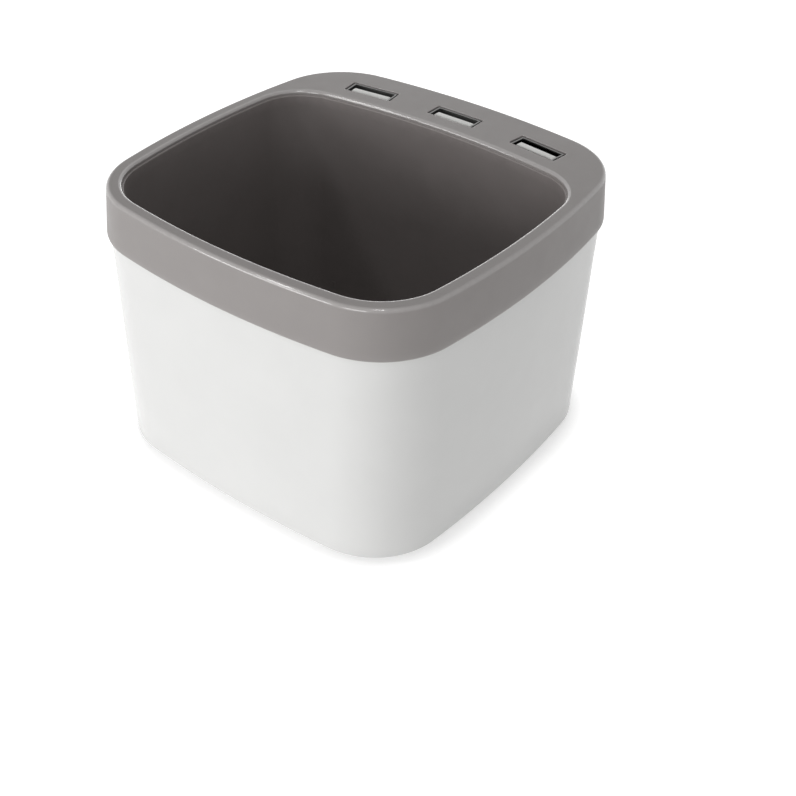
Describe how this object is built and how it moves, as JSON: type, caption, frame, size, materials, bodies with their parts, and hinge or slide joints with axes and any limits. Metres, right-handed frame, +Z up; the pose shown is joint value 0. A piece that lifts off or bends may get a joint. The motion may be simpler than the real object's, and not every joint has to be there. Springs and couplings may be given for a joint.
{
  "type": "usb hub pen holder",
  "caption": "Free-standing desk cup with a white tapered shell, a grey rim and deep pen pocket, and upright USB sockets in a shelf along the rim's back.",
  "frame": {"origin": "centre of the footprint, on the surface the feet stand on", "axes": "+Z up, -Y to the front, +Y to the back with the socket shelf and the cable inlet, +X to the right"},
  "size_m": [0.104, 0.104, 0.074],
  "materials": {
    "white_plastic": "satin",
    "grey_plastic": "satin",
    "rubber": "matte",
    "screw_steel": "satin",
    "socket_steel": "satin",
    "white_insulator": "satin",
    "contact_brass": "polished",
    "board": "satin",
    "chip_plastic": "matte",
    "can_metal": "satin"
  },
  "bodies": {
    "root": {"outer_shell": "white_plastic", "rim": "grey_plastic", "pocket": "grey_plastic", "foot_fl": "rubber", "foot_fr": "rubber", "foot_bl": "rubber", "foot_br": "rubber", "body_screw_fl": "screw_steel", "body_screw_fr": "screw_steel", "body_screw_bl": "screw_steel", "body_screw_br": "screw_steel", "socket_shell_left": "socket_steel", "socket_shell_mid": "socket_steel", "socket_shell_right": "socket_steel", "socket_tongue_left": "white_insulator", "socket_tongue_mid": "white_insulator", "socket_tongue_right": "white_insulator", "socket_contacts_left": "contact_brass", "socket_contacts_mid": "contact_brass", "socket_contacts_right": "contact_brass", "hub_board": "board", "hub_chip": "chip_plastic", "crystal": "can_metal", "capacitor_left": "can_metal", "capacitor_right": "can_metal", "inlet_shell": "socket_steel", "inlet_tongue": "chip_plastic", "board_screw_left": "screw_steel", "board_screw_right": "screw_steel"}
  },
  "joints": []
}
